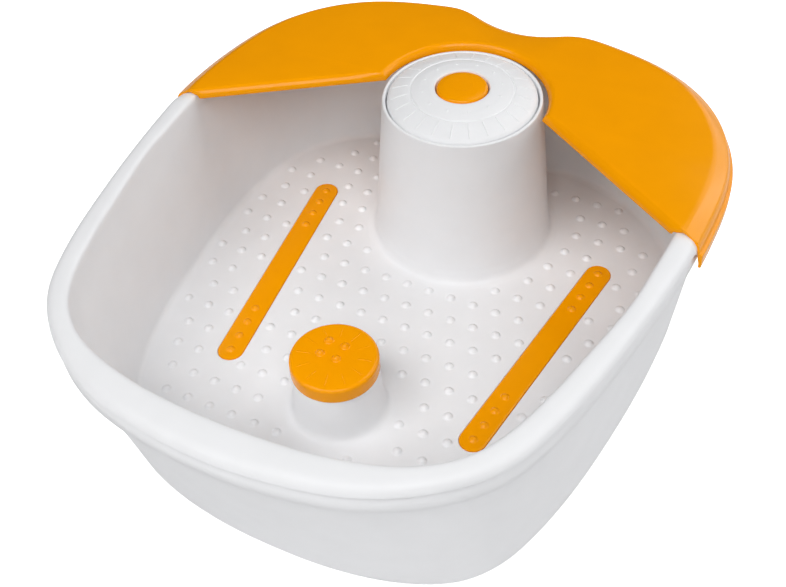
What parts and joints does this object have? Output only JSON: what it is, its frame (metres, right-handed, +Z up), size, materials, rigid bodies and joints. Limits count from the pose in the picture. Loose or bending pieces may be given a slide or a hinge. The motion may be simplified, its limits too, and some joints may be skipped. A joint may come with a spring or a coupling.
{
  "type": "pedicure foot bath",
  "caption": "Pedicure foot bath with a textured basin, a control tower with a turning dial and push button, a massage head, bubble strips in the floor and a lift-off splash guard.",
  "frame": {"origin": "on the surface that the feet stand on, under the middle of the bath's bounding box", "axes": "+Z up, +X to the user's right as they face the bath, +Y away from the user towards the splash guard and the tower, so the front of the rim faces -Y"},
  "size_m": [0.3542, 0.4106, 0.1625],
  "materials": {
    "white": "smooth white moulded plastic, satin sheen",
    "orange": "smooth orange moulded plastic, satin sheen",
    "rubber": "matt dark grey rubber",
    "black_plastic": "matt black moulded plastic",
    "ivory_plastic": "matt ivory moulded plastic",
    "hose": "translucent silicone hose",
    "steel": "plain bright steel",
    "zinc": "zinc plated steel",
    "brass": "turned brass",
    "aluminium": "rolled aluminium sheet",
    "board": "green circuit board laminate",
    "lead": "red insulated lead"
  },
  "bodies": {
    "bath": {"tub_basin": "white", "outer_casing": "white", "air_strip_right": "orange", "air_strip_left": "orange", "foot_front_right": "rubber", "foot_front_left": "rubber", "foot_rear_right": "rubber", "foot_rear_left": "rubber", "motor_damper_1": "rubber", "motor_damper_2": "rubber", "motor_damper_3": "rubber", "dial_seal": "rubber", "spindle_seal": "rubber", "cord_inlet_bush": "black_plastic", "blower_housing": "black_plastic", "blower_cover": "black_plastic", "motor_end_cap": "black_plastic", "thermostat": "black_plastic", "push_switch": "black_plastic", "bubble_microswitch": "black_plastic", "heat_microswitch": "black_plastic", "air_channel_right": "ivory_plastic", "air_channel_left": "ivory_plastic", "terminal_block": "ivory_plastic", "spindle_bush": "ivory_plastic", "switch_carrier": "ivory_plastic", "thermal_fuse": "ivory_plastic", "air_hose_right": "hose", "air_hose_left": "hose", "motor_can": "steel", "casing_screw_1": "zinc", "casing_screw_2": "zinc", "casing_screw_3": "zinc", "casing_screw_4": "zinc", "casing_screw_5": "zinc", "casing_screw_6": "zinc", "carrier_screw_1": "zinc", "carrier_screw_2": "zinc", "carrier_screw_3": "zinc", "heater_plate": "aluminium", "control_board": "board", "heater_lead": "lead", "board_lead": "lead", "motor_lead": "lead"},
    "guard": {"splash_guard": "orange"},
    "dial": {"selector_dial": "white", "dial_collar": "ivory_plastic"},
    "button": {"power_button": "orange", "switch_plunger": "ivory_plastic", "button_spring": "steel"},
    "rotor": {"motor_shaft": "steel", "armature": "zinc", "impeller": "ivory_plastic", "eccentric_weight": "brass"},
    "spindle": {"pad_spindle": "ivory_plastic", "spindle_clip": "steel"},
    "pad": {"massage_pad": "orange"}
  },
  "joints": [
    {"name": "guard_lift", "type": "slide", "parent": "bath", "child": "guard", "axis": [0, 0, 1], "range_m": [0, 0.04]},
    {"name": "dial_turn", "type": "hinge", "parent": "bath", "child": "dial", "pos_m": [0, 0.0992, 0.15], "axis": [0, 0, -1], "range_deg": [0, 135]},
    {"name": "button_press", "type": "slide", "parent": "bath", "child": "button", "axis": [0, 0, -1], "range_m": [0, 0.0025], "stiffness_N_per_m": 600, "springref_m": -0.002, "deforming": ["button_spring"]},
    {"name": "rotor_spin", "type": "hinge", "parent": "bath", "child": "rotor", "pos_m": [0, 0.0992, 0.06], "axis": [0, 0, 1], "continuous": true},
    {"name": "spindle_spin", "type": "hinge", "parent": "bath", "child": "spindle", "pos_m": [0, -0.0798, 0.07], "axis": [0, 0, 1], "continuous": true},
    {"name": "pad_lift", "type": "slide", "parent": "spindle", "child": "pad", "axis": [0, 0, 1], "range_m": [0, 0.03]}
  ]
}
